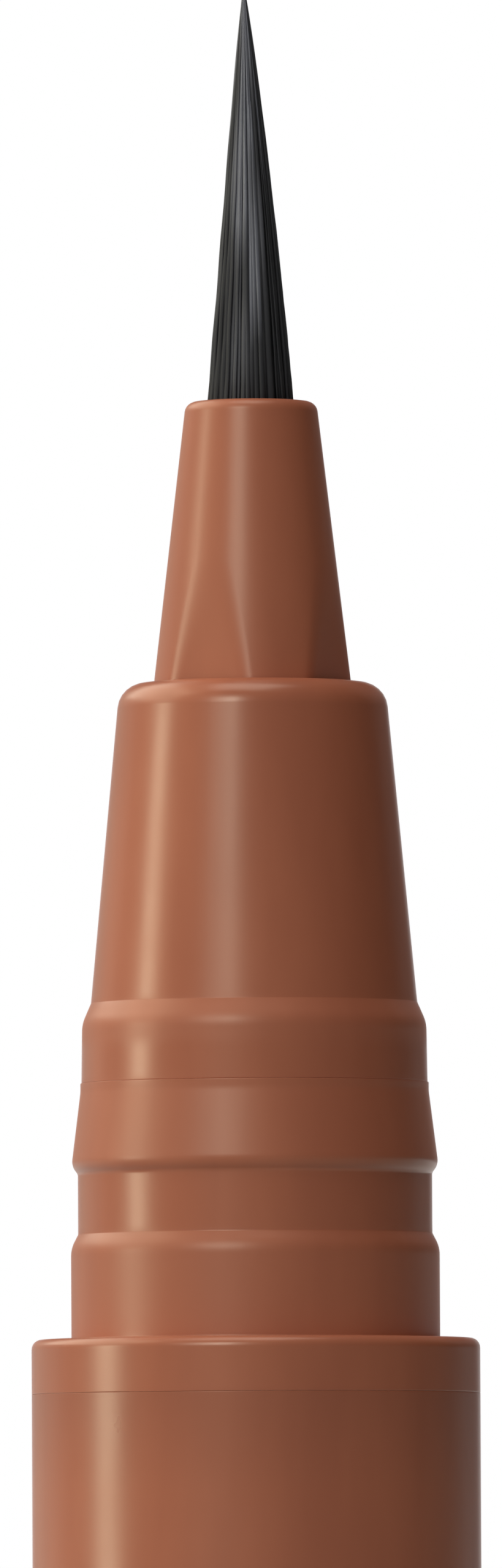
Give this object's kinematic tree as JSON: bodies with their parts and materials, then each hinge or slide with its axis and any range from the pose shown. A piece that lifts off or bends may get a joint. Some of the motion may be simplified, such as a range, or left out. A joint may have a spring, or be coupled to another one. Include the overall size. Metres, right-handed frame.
{
  "type": "brush-tip eyebrow pen",
  "caption": "Slim brush-tip eyebrow pen: pointed bristle brush on a stepped, tapered front with a cap seat, tubular ink barrel, ribbed ink feed, and a pull-off sprung cap posted on the tail.",
  "frame": {"origin": "centre of the flat end of the posted cap, which the pen stands on", "axes": "+Z along the pen towards the brush tip; -Y is the side that faces the picture's camera"},
  "size_m": [0.01, 0.01, 0.1546],
  "materials": {
    "bristle": "satin bristle",
    "brown_plastic": "satin gloss",
    "natural_plastic": "uncoloured, satin",
    "wick_fibre": "bonded fibre, ink stained",
    "seal_rubber": "matt",
    "steel": "polished"
  },
  "bodies": {
    "cap": {"cap_shell": "brown_plastic", "cap_spring": "steel", "crown": "brown_plastic"},
    "inner_cap": {"inner_cap": "natural_plastic"},
    "pen": {"brush": "bristle", "nozzle": "brown_plastic", "nose_cone": "brown_plastic", "cap_seat": "brown_plastic", "collector": "natural_plastic", "feed_wick": "wick_fibre", "front_seal_ring": "seal_rubber", "barrel": "brown_plastic", "tail_seal_ring": "seal_rubber", "tail_plug": "brown_plastic"},
    "ball": {"stirring_ball": "steel"}
  },
  "joints": [
    {"name": "pen_lift", "type": "slide", "parent": "cap", "child": "pen", "axis": [0, 0, 1], "range_m": [0, 0.03]},
    {"name": "inner_cap_push", "type": "slide", "parent": "cap", "child": "inner_cap", "axis": [0, 0, -1], "range_m": [0, 0.0012], "stiffness_N_per_m": 400, "springref_m": -0.003, "deforming": ["cap_spring"]},
    {"name": "ball_travel", "type": "slide", "parent": "pen", "child": "ball", "axis": [0, 0, 1], "range_m": [0, 0.0584]}
  ]
}
